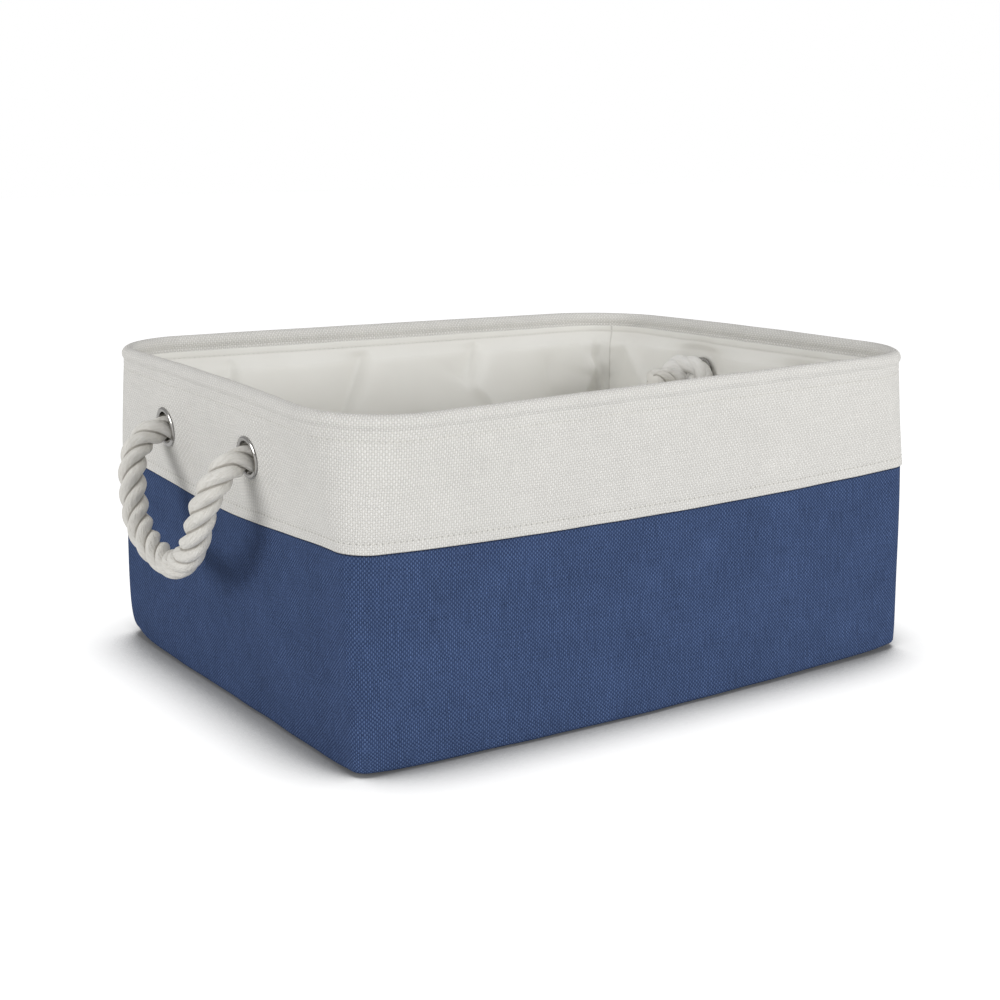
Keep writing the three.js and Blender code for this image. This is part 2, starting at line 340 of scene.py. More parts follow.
def line_on_cloth(shader, axis, place, half_width):
    """1 along a line across the cloth at place on one of its axes, fading to 0 beside it."""
    off_line = shader.math("ABSOLUTE", shader.minus(axis, place))
    return shader.between(off_line, 0.4 * half_width, half_width, 1.0, 0.0)


def make_cream_cloth():
    weft, warp = (0.705, 0.69, 0.65), (0.80, 0.79, 0.76)
    shader, axes, colored = woven("cream_cloth", weft, warp, 1.3 * MM, 0.3 * MM, 0.06, 0.77)
    # Painted shade: the needle holes of the band's and the casing's stitches are painted dark where the
    # thread sinks into the cloth.
    band_hole_shade = shader.times(needle_holes(shader, axes, BAND_STITCH), 0.5)
    casing_hole_shade = shader.times(needle_holes(shader, axes, CASING_STITCH), 0.2)
    holes = shader.math("MAXIMUM", band_hole_shade, casing_hole_shade)
    shader.color(shader.mix(holes, colored, (0.25, 0.24, 0.22)))
    return shader.material


def make_navy_cloth():
    weft, warp = (0.038, 0.063, 0.147), (0.087, 0.134, 0.264)
    shader, axes, colored = woven("navy_cloth", weft, warp, 1.15 * MM, 0.3 * MM, 0.24, 0.5)
    # Painted shadow: a dark line on the navy just under the band's lower edge, where the band stands out
    # over it.
    band_edge_shadow = line_on_cloth(shader, axes.outputs["Y"], BAND_EDGE, 1.3 * MM)
    shader.color(shader.mix(shader.times(band_edge_shadow, 0.8), colored, (0.012, 0.014, 0.025)))
    return shader.material


def make_lining_cloth():
    """Smooth coated cloth with a faint tight weave, with painted shade down its seam and a dark line along
    its top stitches that is partly thread colour and partly painted shade.
    """
    shader = Shader("lining_cloth", (0.80, 0.79, 0.75), 0.6, specular=0.3)
    cloth, axes, height, _, _ = cloth_threads(shader, 0.5 * MM)
    patches = shader.noise(cloth, 22, 3)
    colored = shader.mix(patches, (0.77, 0.755, 0.71), (0.83, 0.825, 0.785))
    # The inner face's UV carries on from the top edge, as far again as the outer face's height.
    top_stitches = 2 * LINING_TOP + LINING - HEM_STITCH
    # Painted shade: a dark line down the seam's groove; the line along the top stitches is partly the
    # thread's colour and partly painted shade of the stitches' dip.
    seam = line_on_cloth(shader, axes.outputs["X"], LINING_SEAM * perimeter(), 0.9 * MM)
    top = line_on_cloth(shader, axes.outputs["Y"], top_stitches, 1.0 * MM)
    lines = shader.math("MAXIMUM", shader.times(seam, 0.4), shader.times(top, 0.15))
    shader.color(shader.mix(lines, colored, (0.42, 0.40, 0.36)))
    shader.bump(height, 0.02 * MM)
    return shader.material


def make_rope_cotton():
    """Loose cotton yarns that cross each strand slantwise, and painted shade in the groove where two strands
    meet.
    """
    shader = Shader("rope_cotton", (0.80, 0.77, 0.71), 0.95, specular=0.08)
    cloth = shader.cloth_place()
    turned = shader.add("ShaderNodeMapping")
    turned.inputs["Rotation"].default_value = (0, 0, 0.8)
    shader.tree.links.new(cloth, turned.inputs["Vector"])
    fibre = turned.outputs["Vector"]
    yarns = shader.noise(shader.stretched(fibre, 90, 900), 1, 3, 0.6)
    fuzz = shader.noise(shader.stretched(fibre, 500, 2600), 1, 2, 0.7)
    warm = shader.noise(shader.stretched(cloth, 12, 60), 1, 2)
    axes = shader.add("ShaderNodeSeparateXYZ", Vector=cloth)
    round_rope = shader.times(axes.outputs["Y"], 3 / ROPE_RADIUS)
    # Painted shade: a dark line in the groove where two strands meet.
    crease = shader.between(shader.math("COSINE", round_rope), -1.0, -0.8, 1.0, 0.0)
    tone = shader.mix(warm, (0.78, 0.755, 0.70), (0.85, 0.835, 0.79))
    tone = shader.mix(shader.between(yarns, 0.3, 0.58, 0.5, 0.0), tone, (0.60, 0.57, 0.51))
    tone = shader.mix(shader.between(fuzz, 0.45, 0.75, 0.0, 0.5), tone, (0.90, 0.89, 0.86))
    tight = shader.add("ShaderNodeAttribute", {"attribute_name": "tightness"}).outputs["Fac"]
    # Painted light: the knots are painted lighter, and their painted groove shade is weaker.
    tone = shader.mix(shader.times(tight, 0.75), tone, (0.95, 0.94, 0.91))
    crease = shader.times(crease, shader.between(tight, 0, 1, 0.65, 0.08))
    shader.color(shader.mix(crease, tone, (0.26, 0.23, 0.19)))
    shader.bump(shader.plus(yarns, shader.times(fuzz, 0.6)), 1.1 * MM)
    shader.principled.inputs["Sheen Weight"].default_value = 0.1
    return shader.material


def make_thread():
    shader = Shader("sewing_thread", (0.72, 0.71, 0.67), 0.7)
    place = shader.object_place()
    shader.bump(shader.noise(place, 4000, 2), 0.1 * MM)
    return shader.material


def make_board():
    shader = Shader("board", (0.5, 0.4, 0.28), 0.9)
    place = shader.object_place()
    flecks = shader.noise(place, 600, 4, 0.7)
    shader.color(shader.mix(shader.between(flecks, 0.35, 0.65), (0.42, 0.33, 0.22), (0.56, 0.46, 0.33)))
    shader.bump(flecks, 0.1 * MM)
    return shader.material


def metal(name, color, roughness, wear_scale):
    shader = Shader(name, color, roughness, 1.0)
    place = shader.object_place()
    smears = shader.noise(place, wear_scale, 3)
    rough = shader.between(smears, 0.3, 0.7, roughness * 0.7, roughness * 1.5)
    shader.tree.links.new(rough, shader.principled.inputs["Roughness"])
    shader.bump(shader.noise(place, wear_scale * 6, 2), 0.02 * MM)
    return shader.material


# --- The wall's shape ---


def eased(t):
    """t held between 0 and 1, with a soft start and end."""
    t = np.clip(t, 0, 1)
    return t * t * (3 - 2 * t)


def face_at(z):
    """The outer face's half length, half width and corner radius at a height."""
    return tuple(np.interp(z, FACE[:, 0], FACE[:, i]) for i in (1, 2, 3))


def quarters(share):
    """Which quarter of the way round a share is in, and how far through it from the end wall's middle."""
    quarter = np.floor(share * 4).astype(int) % 4
    within = share * 4 - np.floor(share * 4)
    return quarter, np.where(quarter % 2 == 1, 1 - within, within)


def outline(share, z, depth):
    """Places and outward directions on the wall.

    share runs once round the bin at an even pace along the cloth, from the middle of the right-hand end
    to the rear. z and depth are the height and the distance inwards from the outer cloth face."""
    length, width, radius = face_at(z)
    quarter, within = quarters(share)
    side_x = np.where((quarter == 0) | (quarter == 3), 1.0, -1.0)
    side_y = np.where(quarter < 2, 1.0, -1.0)
    straight_end, bend = width - radius, radius * math.pi / 2
    run = within * (straight_end + bend + length - radius)
    angle = np.clip((run - straight_end) / radius, 0, math.pi / 2)
    past = np.maximum(run - straight_end - bend, 0)
    x = length - radius - past + (radius - depth) * np.cos(angle)
    y = np.minimum(run, straight_end) + (radius - depth) * np.sin(angle)
    normal = np.stack([side_x * np.cos(angle), side_y * np.sin(angle), 0 * angle], -1)
    return np.stack([side_x * x, side_y * y, z + 0 * x], -1), normal


def held_by_eyelets(points, reach=30 * MM):
    """1 where an eyelet clamps the cloth, falling to 0 at the reach."""
    held = np.zeros(points.shape[:-1])
    for _, out, y in EYELETS:
        off = np.hypot(points[..., 1] - y, points[..., 2] - EYELET_HEIGHT)
        same_end = points[..., 0] * out > EYELET_X / 2
        held = np.maximum(held, eased((reach - off) / (reach - EYELET_GRIP)) * same_end)
    return held


def soften(points):
    """Lets the true rounded rectangle give as cloth does: bowed sides, a dipping seam, uneven corners."""
    x, y, z = (points[..., i].copy() for i in range(3))
    length, width, _ = face_at(z)
    give = (np.interp(z, FACE[:, 0], GIVE[:, i]) for i in range(5))
    bow_long, bow_end, lift_long, lift_end, twist = give
    u, v = np.clip(x / length, -1, 1), np.clip(y / width, -1, 1)
    long_side, end = (1 - u * u) * v**4, (1 - v * v) * u**4
    free = 1 - held_by_eyelets(points)
    x = x + np.sign(u) * bow_end * end * free
    y = y + np.sign(v) * bow_long * long_side * free
    lift = (lift_long * long_side + lift_end * end * (1 - v * v) + twist * u * v) * free
    # Near the floor the cloth can rise but not sink.
    z = z + np.where(lift < 0, lift * np.clip(z / SINK_HEIGHT, 0, 1), lift)
    return np.stack([x, y, z], -1)


def tucked_corners(points, share, z):
    """Rounds off the foot of each upright corner, where the cloth is gathered under."""
    length, width, radius = face_at(z)
    quarter, within = quarters(share)
    half_bend = radius * math.pi / 4
    run = within * (length + width + 2 * half_bend - 2 * radius)
    off_corner = run - (width - radius + half_bend)
    amount = np.array(CORNER_TUCK)[quarter] * np.exp(-((off_corner / (17 * MM)) ** 2))
    inwards = amount * np.exp(-np.maximum(z, 0) / (9 * MM))
    upwards = 0.7 * amount * np.exp(-np.maximum(z, 0) / (5 * MM))
    move = np.stack([-np.sign(points[..., 0]) * inwards, -np.sign(points[..., 1]) * inwards, upwards], -1)
    return points + move * np.array([0.7, 0.7, 1])


def unevenness(share, z):
    """Slow ripples of the outer cloth, the same for all layers so that they stay nested."""
    turn = share * 2 * math.pi
    waves = [(7, 31, 0.3), (11, -22, 1.9), (17, 40, 4.1), (23, -55, 2.6), (5, 70, 5.0), (31, 25, 0.9)]
    return 0.11 * MM * sum(np.sin(n * turn + k * z + phase) for n, k, phase in waves)


def wall_points(share, z, depth):
    """Points of the softened wall, for a grid of shares across and of heights and depths down."""
    points, normal = outline(share, z, depth)
    calm = 1 - held_by_eyelets(points)
    return tucked_corners(soften(points + normal * (unevenness(share, z) * calm)[..., None]), share, z)


# --- Mesh helpers ---


def make_piece(name, vertices, faces, uv, material):
    """A smooth-shaded mesh object with a UV in metres for every face corner."""
    mesh = bpy.data.meshes.new(name)
    mesh.from_pydata(vertices.tolist(), [], faces.tolist() if hasattr(faces, "tolist") else faces)
    if uv is not None:
        layer = mesh.uv_layers.new(name="cloth")
        layer.data.foreach_set("uv", np.asarray(uv, dtype=np.float32).ravel())
    mesh.polygons.foreach_set("use_smooth", [True] * len(mesh.polygons))
    mesh.materials.append(material)
    mesh.update()
    piece = bpy.data.objects.new(name, mesh)
    bpy.context.scene.collection.objects.link(piece)
    return piece


def grid_faces(rows, columns, close_rows, close_columns):
    """Quads of a grid whose vertices are numbered row by row, and the same quads in unwrapped numbers."""
    r = np.arange(rows if close_rows else rows - 1)[:, None]
    c = np.arange(columns if close_columns else columns - 1)[None, :]
    corners = [(r, c), (r, c + 1), (r + 1, c + 1), (r + 1, c)]
    index = np.stack([(a % rows) * columns + b % columns + 0 * (r + c) for a, b in corners], -1)
    flat = np.stack([np.stack([a + 0 * c, b + 0 * r], -1) for a, b in corners], -2)
    return index.reshape(-1, 4), flat.reshape(-1, 4, 2)


def clean_mesh(piece, weld=0):
    """Joins vertices closer than weld, if it is given, and turns every face outwards."""
    mesh = bmesh.new()
    mesh.from_mesh(piece.data)
    if weld:
        bmesh.ops.remove_doubles(mesh, verts=mesh.verts, dist=weld)
    bmesh.ops.recalc_face_normals(mesh, faces=mesh.faces)
    mesh.to_mesh(piece.data)
    mesh.free()


def path_length(points):
    steps = np.linalg.norm(np.diff(points, axis=0), axis=1)
    return np.concatenate([[0], np.cumsum(steps)])


def perimeter():
    """The way round the bin at the band's lower edge."""
    _, length, width, radius = FACE[1]
    return 4 * (length + width - 2 * radius) + 2 * math.pi * radius


def ring_cloth(name, profile, material, extra_depth=None, face_row=0):
    """A closed layer round the bin. profile is its section: (depth, z), up outside and down inside."""
    profile = np.array(profile)
    share = np.arange(COLUMNS)[None, :] / COLUMNS
    depth, z = profile[:, :1], profile[:, 1:]
    if extra_depth is not None:
        depth = depth + extra_depth(share, z)
    points = wall_points(share, z, depth)
    faces, flat = grid_faces(len(profile), COLUMNS, True, True)
    heights = path_length(np.vstack([profile, profile[:1]]))
    # The UV's height is the height of the outer face, carried on over the rim and down inside.
    heights += profile[face_row, 1] - heights[face_row]
    uv = np.stack([flat[..., 1] * (perimeter() / COLUMNS), heights[flat[..., 0]]], -1)
    piece = make_piece(name, points.reshape(-1, 3), faces, uv, material)
    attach(piece, "bin")
    return piece


def rows_between(low, high, step=ROW):
    return np.linspace(low, high, max(2, round((high - low) / step) + 1))


def punch(piece):
    """Cuts the four eyelet holes through a wall layer."""
    cutter_mesh = bmesh.new()
    for _, out, y in EYELETS:
        place = Matrix.Translation((out * EYELET_X, y, EYELET_HEIGHT))
        place = place @ Matrix.Rotation(math.pi / 2 + out * END_LEAN, 4, "Y")
        size = {"segments": 48, "radius1": HOLE_RADIUS, "radius2": HOLE_RADIUS, "depth": 30 * MM}
        bmesh.ops.create_cone(cutter_mesh, cap_ends=True, matrix=place, **size)
    mesh = bpy.data.meshes.new("cutter")
    cutter_mesh.to_mesh(mesh)
    cutter_mesh.free()
    cutter = bpy.data.objects.new("cutter", mesh)
    bpy.context.scene.collection.objects.link(cutter)
    modifier = piece.modifiers.new("eyelet_holes", "BOOLEAN")
    modifier.object = cutter
    modifier.solver = "EXACT"
    bake_modifiers(piece)
    bpy.data.objects.remove(cutter)


def bake_modifiers(piece):
    """Applies the piece's modifiers to its mesh."""
    graph = bpy.context.evaluated_depsgraph_get()
    mesh = bpy.data.meshes.new_from_object(piece.evaluated_get(graph))
    piece.modifiers.clear()
    old, piece.data = piece.data, mesh
    bpy.data.meshes.remove(old)


# --- Cloth ---


def roll_arc(radius, start, end, steps=14):
    """Part of the band's roll over the rim wire, as (depth, z)."""
    depth, z = WALL_DEPTH / 2, RIM_TOP - ROLL_RADIUS
    turn = np.linspace(start, end, steps + 1)
    return [(depth - radius * math.cos(a), z + radius * math.sin(a)) for a in turn]


def stitch_dip(z, lines):
    """How far a pulled-tight line of stitches draws the cloth in."""
    return STITCH_PULL * sum(np.exp(-(((z - line) / (1.3 * MM)) ** 2)) for line in lines)


def make_upper_band(material):
    """One cloth from its folded lower edge up, over the rim wire and down to the hem inside."""
    outer = math.acos(WALL_DEPTH / 2 / ROLL_RADIUS)
    inner_radius = ROLL_RADIUS - CLOTH
    inner = math.acos((WALL_DEPTH / 2 - CLOTH) / inner_radius)
    shoulder = RIM_TOP - ROLL_RADIUS - ROLL_RADIUS * math.sin(outer)
    fold_top, hem_bottom = BAND_EDGE + 0.7 * MM, HEM_END + 0.6 * MM
    face = rows_between(fold_top, shoulder, 1.2 * MM)[:-1]
    face = [(stitch_dip(z, (BAND_STITCH, CASING_STITCH)), z) for z in face]
    inner_shoulder = RIM_TOP - ROLL_RADIUS + inner_radius * math.sin(-inner)
    hem = [(WALL_DEPTH, z) for z in rows_between(hem_bottom, shoulder, 1.2 * MM)[:-1]]
    back = rows_between(hem_bottom, inner_shoulder, 2 * MM)[:-1]
    wall_side = rows_between(fold_top, inner_shoulder, 5 * MM)[:-1]
    fold = [(CLOTH, fold_top), (0.7 * MM, BAND_EDGE + 0.1 * MM)]
    fold += [(0.45 * MM, BAND_EDGE), (0.15 * MM, BAND_EDGE + 0.2 * MM)]
    hem_fold = [(WALL_DEPTH - 0.2 * MM, HEM_END + 0.1 * MM), (HEM_AT + 0.2 * MM, HEM_END + 0.1 * MM)]
    profile = [
        *fold,
        *face,
        *roll_arc(ROLL_RADIUS, -outer, math.pi + outer),
        *hem[::-1],
        *hem_fold,
        *[(HEM_AT, z) for z in back],
        *roll_arc(inner_radius, math.pi + inner, -inner),
        *[(CLOTH, z) for z in wall_side[:0:-1]],
    ]
    band = ring_cloth("upper_band_cloth", profile, material, face_row=len(fold))
    punch(band)
    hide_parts("upper_band")


def make_lower_wall(material):
    """The navy cloth, from where it turns under the bin to its top edge behind the band."""
    turn = [
        (LOWER_WALL_AT + BOTTOM_TURN * (1 - math.cos(a)), BOTTOM_TURN * (1 - math.sin(a)))
        for a in np.linspace(math.pi / 2, 0, 8)
    ]
    up = [(LOWER_WALL_AT, z) for z in rows_between(BOTTOM_TURN, LOWER_WALL_TOP)[1:]]
    back = LOWER_WALL_AT + CLOTH
    down = [(back, z) for z in rows_between(BOTTOM_TURN + CLOTH, LOWER_WALL_TOP, 8 * MM)[::-1]]
    under = [(back + 1.1 * MM, 1.9 * MM), (LOWER_WALL_AT + BOTTOM_TURN, CLOTH)]
    profile = turn + up + down + under
    wall = ring_cloth("lower_wall_cloth", profile, material, face_row=len(turn))
    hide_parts("lower_wall")


def flat_sheet(name, inset, low, thickness, material, sag=lambda x, y: 0 * x):
    """A closed sheet that fills the bin's outline at an inset from the outer face.

    low is its underside's height, and sag gives how much higher it lies at each place."""
    rings = np.linspace(1, 0, 41)
    share = np.arange(COLUMNS // 2) / (COLUMNS // 2)
    edge = wall_points(share, low + 0 * share, inset + 0 * share)
    edge[:, 2] = 0
    spread = rings[:, None, None] * edge[None]
    # Its rim rises with the wall's foot, mostly at the gathered corners.
    rise = rings[:, None] ** 20 * wall_points(share, 0 * share, inset + 0 * share)[:, 2]
    height = low + thickness + sag(spread[..., 0], spread[..., 1]) + rise
    top = np.concatenate([spread[..., :2], height[..., None]], -1)
    bottom = np.concatenate([spread[..., :2], (height - thickness)[..., None]], -1)
    points = np.concatenate([bottom[::-1], top])
    faces, _ = grid_faces(len(points), len(share), False, True)
    flat = points.reshape(-1, 3)
    uv = flat[faces][..., :2] - FLAT_UV_SHIFT
    piece = make_piece(name, flat, faces, uv, material)
    clean_mesh(piece, weld=1e-6)
    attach(piece, "bin")
    return piece


def make_bottom_panel(material):
    inset = UNDERSIDE_INSET - CLOTH + 0.2 * MM
    panel = flat_sheet("bottom_panel_cloth", inset, 0.05 * MM, CLOTH, material)
    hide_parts("bottom_panel")


def crease(run, z, fold):
    """A crest of the lining, or a valley, between two points of the wall: (run along the wall, height).

    Its two sides fall off over their own widths: ahead is towards the larger run."""
    (start_run, start_z), (end_run, end_z), ahead, behind, depth = fold
    along = np.array([end_run - start_run, end_z - start_z])
    length = np.hypot(*along)
    along = along / length * (1 if along[1] < 0 else -1)
    middle_run, middle_z = (start_run + end_run) / 2, (start_z + end_z) / 2
    a = (run - middle_run) * along[0] + (z - middle_z) * along[1]
    b = -(run - middle_run) * along[1] + (z - middle_z) * along[0]
    fade = eased(1 - np.maximum(np.abs(a) - length * 0.38, 0) / (length * 0.24))
    width = np.where(b > 0, ahead, behind)
    blunt = 0.8 * MM
    return depth * fade * np.exp(-(np.sqrt(b * b + blunt**2) - blunt) / width)


def lining_creases():
    """Creases placed as in the photograph on the rear wall and by the seam, and scattered ones elsewhere.

    Each has its start, end, width ahead, width behind and depth, and the depth is negative in a valley."""
    placed = [
        ((0.347, 0.168), (0.395, 0.080), 16, 3, -8.5),
        ((0.259, 0.170), (0.272, 0.139), 12, 3, -7),
        ((0.272, 0.143), (0.232, 0.095), 3, 18, 5.5),
        ((0.446, 0.168), (0.455, 0.120), 10, 3, -5),
        ((0.158, 0.166), (0.166, 0.138), 9, 5, 4.5),
        ((0.160, 0.146), (0.176, 0.118), 9, 5, 4),
        ((0.160, 0.146), (0.150, 0.118), 5, 7, 3),
        ((0.132, 0.168), (0.080, 0.126), 15, 4, 4),
        ((0.205, 0.150), (0.190, 0.070), 10, 9, -3),
        ((0.320, 0.120), (0.300, 0.060), 12, 7, -3),
    ]
    creases = [(start, end, *(size * MM for size in sizes)) for start, end, *sizes in placed]
    draw = np.random.default_rng(7)
    for _ in range(34):
        run, z = draw.uniform(0.46, perimeter()), draw.uniform(0.05, 0.15)
        end = (run + draw.uniform(-0.04, 0.04), z - draw.uniform(0.03, 0.07))
        ahead, behind = draw.uniform(3, 12, 2) * MM
        creases.append(((run, z), end, ahead, behind, draw.uniform(-4, 4) * MM))
    return creases


def lining_wrinkles(share, z):
    """How far the lining stands in from the boards: creases, a loose hang and a puckered seam."""
    run = share * perimeter()
    depth = LINING_HANG + sum(crease(run, z, fold) for fold in lining_creases())
    turn = share * 2 * math.pi
    depth = depth + 0.6 * MM * (1 + np.sin(9 * turn + 24 * z + 1)) + 0.3 * MM * np.sin(21 * turn - 37 * z)
    off_seam = run - LINING_SEAM * perimeter()
    pucker = np.sin(z * 2 * math.pi / (9 * MM) + np.sign(off_seam)) * np.exp(-np.abs(off_seam) / (7 * MM))
    depth = depth + 0.5 * MM * (1 + pucker) * np.exp(-np.abs(off_seam) / (14 * MM))
    depth = depth - 1.2 * MM * np.exp(-((off_seam / (1.4 * MM)) ** 2))
    loose = np.clip((LINING_TOP - 4 * MM - z) / (9 * MM), 0, 1) * np.clip(z / (22 * MM), 0, 1)
    points, _ = outline(share, z, 0 * z)
    hang = np.maximum(depth, 0) * eased(loose) * (1 - held_by_eyelets(points, 55 * MM))
    # The top edge is sewn over the hem's lower edge, and drawn in along the stitches.
    over_hem = (WALL_DEPTH - LINING_AT + 0.2 * MM) * eased((z - LINING_TOP + 11 * MM) / (6 * MM))
    return hang + over_hem - stitch_dip(z, (HEM_STITCH,))


def make_lining(material):
    # It starts a little below its floor, so that no gap opens where the walls stand out of level.
    coarse = rows_between(LINING_FLOOR_AT - 1 * MM, LINING_TOP - 12 * MM, 2 * MM)
    levels = np.append(coarse, rows_between(LINING_TOP - 11.4 * MM, LINING_TOP, 0.6 * MM))
    profile = [(LINING_AT, z) for z in levels] + [(LINING_AT + LINING, z) for z in levels[::-1]]
    wall = ring_cloth("lining_wall_cloth", profile, material, lining_wrinkles)
    punch(wall)
    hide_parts("lining_wall")


def make_lining_floor(material):
    def sag(x, y):
        waves = [(23, 17, 0), (-31, 26, 2), (12, -41, 4), (47, 5, 1)]
        return 0.25 * MM * sum(1 + np.sin(a * x + b * y + c) for a, b, c in waves) / 2

    floor = flat_sheet("lining_floor_cloth", HEM_AT, LINING_FLOOR_AT, LINING, material, sag)
    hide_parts("lining_floor")


# --- Boards and wire ---


def make_base_board(material):
    inset = STIFFENER_AT + BASE_BOARD_MARGIN
    board = flat_sheet("base_board_sheet", inset, 1.2 * MM, BASE_BOARD, material)
    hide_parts("base_board")


def slab_faces(rows, columns):
    """The faces of two grids of points, one behind the other, and of the edge between them."""
    front, _ = grid_faces(rows, columns, False, False)
    count = rows * columns
    edge = [*range(columns)]
    edge += [r * columns + columns - 1 for r in range(1, rows)]
    edge += [(rows - 1) * columns + c for c in range(columns - 2, -1, -1)]
    edge += [r * columns for r in range(rows - 2, 0, -1)]
    rim = [(a, b, b + count, a + count) for a, b in zip(edge, edge[1:] + edge[:1])]
    return front.tolist() + (front[:, ::-1] + count).tolist() + rim


def make_stiffener(node, long_wall, sign, material):
    """A thin board that follows its softened wall."""
    z = np.linspace(2 * LINING_FLOOR_AT, HEM_END - 2 * MM, 24)[:, None]
    length, width, radius = face_at(z)
    half = (length if long_wall else width) - radius - STIFFENER_MARGIN
    along = np.linspace(-1, 1, 60)[None, :] * half
    layers = []
    for depth in (STIFFENER_AT, STIFFENER_AT + STIFFENER):
        across = sign * ((width if long_wall else length) - depth) + 0 * along
        pair = (along, across) if long_wall else (across, along)
        layers.append(soften(np.stack([*pair, z + 0 * along], -1)))
    points = np.stack(layers).reshape(-1, 3)
    board = make_piece(f"{node}_board", points, slab_faces(*along.shape), None, material)
    if not long_wall:
        punch(board)
    clean_mesh(board)
    for face in board.data.polygons:
        face.use_smooth = False
    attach(board, "bin")
    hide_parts(node)


def make_stiffeners(material):
    for side, long_wall, sign in (
        ("front", True, -1), ("rear", True, 1), ("left", False, -1), ("right", False, 1),
    ):
        make_stiffener(f"stiffener_{side}", long_wall, sign, material)


def tube(name, centre, radius, sides, closed, material):
    """A round tube along points, with its UV along it and round it, in metres."""
    ahead, back = np.roll(centre, -1, 0), np.roll(centre, 1, 0)
    if not closed:
        ahead[-1], back[0] = centre[-1], centre[0]
    tangent = ahead - back
    tangent /= np.linalg.norm(tangent, axis=1, keepdims=True)
    out = np.cross(tangent, [0, 0, 1.0])
    out /= np.linalg.norm(out, axis=1, keepdims=True)
    up = np.cross(out, tangent)
    angle = np.linspace(0, 2 * math.pi, sides, endpoint=False)[None, :, None]
    points = centre[:, None] + radius * (np.cos(angle) * out[:, None] + np.sin(angle) * up[:, None])
    faces, flat = grid_faces(len(centre), sides, closed, True)
    run = path_length(np.vstack([centre, centre[:1]]))
    uv = np.stack([run[flat[..., 0]], flat[..., 1] * (2 * math.pi * radius / sides)], -1)
    faces = faces.tolist()
    if not closed:
        first, last = list(range(sides)), [len(centre) * sides - sides + k for k in range(sides)]
        uv = np.vstack([uv.reshape(-1, 2), np.zeros((2 * sides, 2))])
        faces += [first, last[::-1]]
    piece = make_piece(name, points.reshape(-1, 3), faces, uv, material)
    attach(piece, "bin")
    return piece


def make_rim_wire(material):
    share = np.arange(COLUMNS // 2) / (COLUMNS // 2)
    level, middle = RIM_TOP - ROLL_RADIUS + 0 * share, WALL_DEPTH / 2 + 0 * share
    centre = wall_points(share, level, middle)
    wire = tube("rim_wire_ring", centre, WIRE_RADIUS, 12, True, material)
    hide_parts("rim_wire")
    rear = len(share) // 4
    joined = centre[rear - 3 : rear + 4]
    sleeve = tube("rim_wire_crimp", joined, SLEEVE_RADIUS, 16, False, material)
    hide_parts("rim_wire_sleeve")


# --- Stitches ---


def stitch_line(name, z, depth, lift, material):
    """A row of short stitches laid on the cloth, each one sunk at both of its ends.

    depth is 0 outside, and otherwise how far in the cloth's inner face is."""
    count = round(perimeter() / STITCH_PITCH)
    steps, sides = 7, 6
    t = np.linspace(0, 1, steps)
    share = (np.arange(count)[:, None] + 0.12 + 0.76 * t[None, :]) / count
    rise = lift * np.sin(math.pi * t) - 0.25 * lift
    level = z + 0 * share
    sign = 1 if depth == 0 else -1
    centre = wall_points(share, level, depth + sign * (stitch_dip(level, (z,)) - rise[None, :]))
    tangent = np.gradient(centre, axis=1)
    tangent /= np.linalg.norm(tangent, axis=2, keepdims=True)
    up = np.array([0, 0, 1.0])
    out = np.cross(tangent, up)
    angle = np.linspace(0, 2 * math.pi, sides, endpoint=False)
    size = THREAD_RADIUS * np.sqrt(np.maximum(np.sin(math.pi * (0.08 + 0.84 * t)), 0.05))
    ring = np.cos(angle)[:, None] * out[:, :, None, :] + np.sin(angle)[:, None] * up
    points = centre[:, :, None, :] + size[None, :, None, None] * ring
    faces, _ = grid_faces(steps, sides, False, True)
    caps = [list(range(sides)), [(steps - 1) * sides + k for k in range(sides)][::-1]]
    every = []
    for k in range(count):
        every += (faces + k * steps * sides).tolist()
        every += [[i + k * steps * sides for i in cap] for cap in caps]
    piece = make_piece(name, points.reshape(-1, 3), every, None, material)
    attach(piece, "bin")


def make_stitches(material):
    stitch_line("band_stitches", BAND_STITCH, 0, 0.3 * MM, material)
    stitch_line("casing_stitches", CASING_STITCH, 0, 0.25 * MM, material)
    stitch_line("hem_stitches", HEM_STITCH, WALL_DEPTH + 0.7 * MM, 0.4 * MM, material)


# --- Eyelets ---


def lathe(name, profile, place, material, node):
    """A closed (radius, height) profile turned about the place's own Z axis."""
    sides = 64
    profile = np.array(profile)
    angle = np.linspace(0, 2 * math.pi, sides, endpoint=False)[None, :]
    radius, height = profile[:, :1], profile[:, 1:]
    points = np.stack([radius * np.cos(angle), radius * np.sin(angle), height + 0 * angle], -1)
    faces, _ = grid_faces(len(profile), sides, True, True)
    piece = make_piece(name, points.reshape(-1, 3), faces, None, material)
    piece.data.transform(place)
    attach(piece, "bin")
    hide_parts(node)


def rounded(corners, radius, steps=5):
    """A closed profile with each corner turned into a short arc."""
    points = np.array(corners, float)
    rounded_points = []
    for i, corner in enumerate(points):
        back, ahead = points[i - 1] - corner, points[(i + 1) % len(points)] - corner
        reach = min(radius, 0.45 * np.linalg.norm(back), 0.45 * np.linalg.norm(ahead))
        start = corner + back / np.linalg.norm(back) * reach
        end = corner + ahead / np.linalg.norm(ahead) * reach
        for t in np.linspace(0, 1, steps):
            rounded_points.append((1 - t) ** 2 * start + 2 * t * (1 - t) * corner + t**2 * end)
    return np.array(rounded_points)


